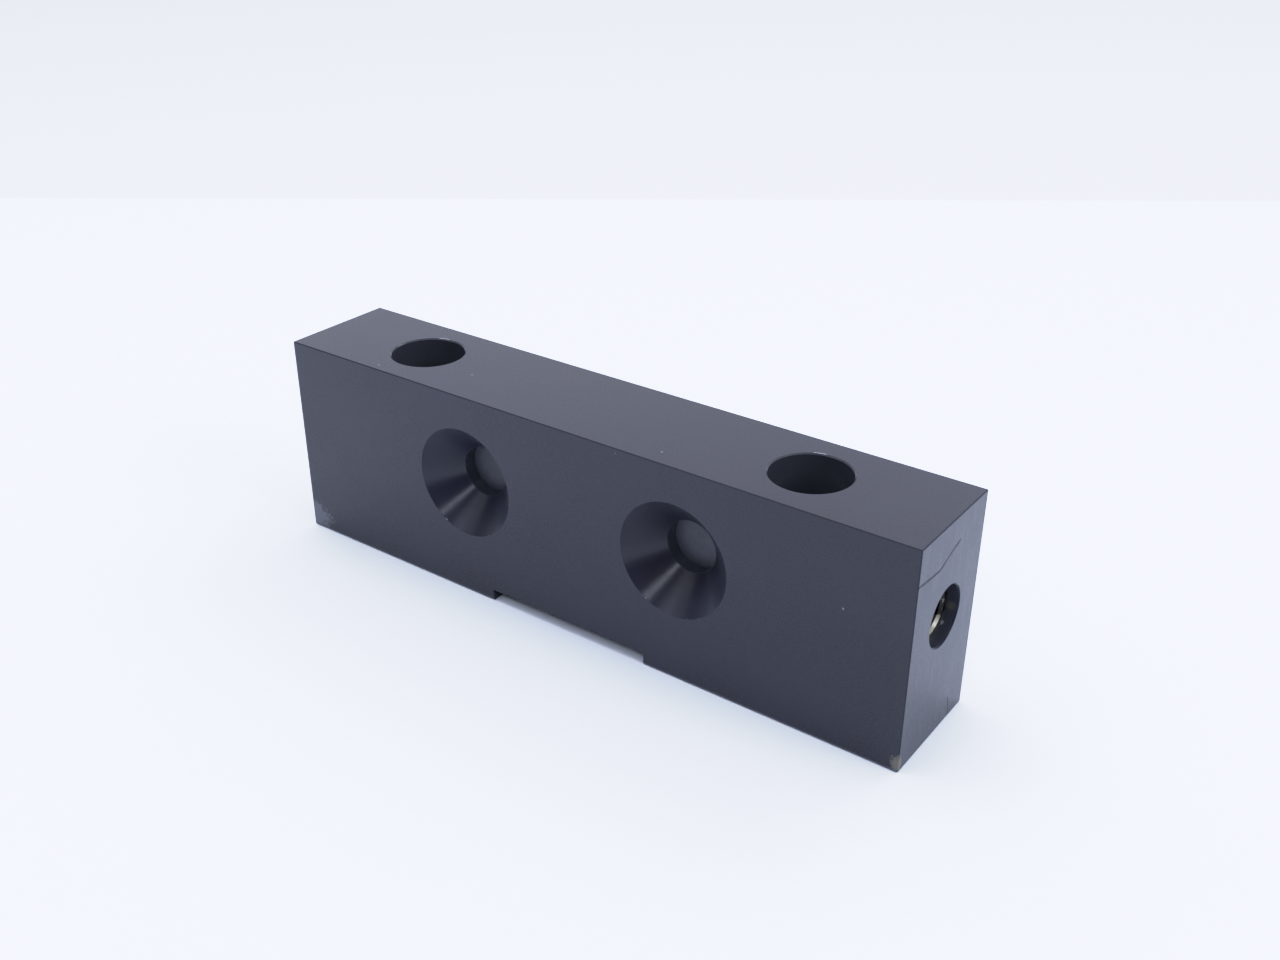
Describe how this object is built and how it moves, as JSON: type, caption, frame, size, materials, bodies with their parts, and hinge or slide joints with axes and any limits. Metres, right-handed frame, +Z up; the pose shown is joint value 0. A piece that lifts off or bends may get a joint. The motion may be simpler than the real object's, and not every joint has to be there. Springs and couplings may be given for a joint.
{
  "type": "hydraulic twin check valve block",
  "caption": "Black anodised hydraulic monoblock valve: coned inlet ports in the front, plug-in outlet bores in the top, and a sprung check poppet behind each inlet.",
  "frame": {"origin": "middle of the underside, on the plane of the two mounting pads", "axes": "+X along the block towards its right end, +Y from the front face with the coned ports to the back face, +Z up through the outlet bores"},
  "size_m": [0.115, 0.02, 0.035],
  "materials": {
    "black_anodised": "satin black anodising with faint machining marks",
    "black_oxide_steel": "turned, black oxide",
    "seal_rubber": "smooth nitrile rubber",
    "spring_steel": "drawn stainless wire",
    "plated_steel": "clear zinc plating",
    "backup_plastic": "plain PTFE",
    "expander_steel": "turned, warm-toned zinc plating",
    "ball_steel": "ground ball bearing steel"
  },
  "bodies": {
    "root": {"valve_body": "black_anodised", "poppet_spring_left": "spring_steel", "poppet_spring_right": "spring_steel", "spring_plug_left": "plated_steel", "spring_plug_right": "plated_steel", "spring_plug_seal_left": "seal_rubber", "spring_plug_seal_right": "seal_rubber", "outlet_seal_left": "seal_rubber", "outlet_seal_right": "seal_rubber", "outlet_backup_ring_left": "backup_plastic", "outlet_backup_ring_right": "backup_plastic", "end_plug_sleeve_left": "expander_steel", "end_plug_sleeve_right": "expander_steel", "end_plug_ball_left": "ball_steel", "end_plug_ball_right": "ball_steel"},
    "poppet_left": {"poppet_left": "black_oxide_steel", "poppet_seal_left": "seal_rubber"},
    "poppet_right": {"poppet_right": "black_oxide_steel", "poppet_seal_right": "seal_rubber"}
  },
  "joints": [
    {"name": "poppet_left_slide", "type": "slide", "parent": "root", "child": "poppet_left", "axis": [0, 1, 0], "range_m": [0, 0.0016], "stiffness_N_per_m": 1170, "springref_m": -0.00175, "deforming": ["poppet_spring_left"]},
    {"name": "poppet_right_slide", "type": "slide", "parent": "root", "child": "poppet_right", "axis": [0, 1, 0], "range_m": [0, 0.0016], "stiffness_N_per_m": 1170, "springref_m": -0.00175, "deforming": ["poppet_spring_right"]}
  ]
}
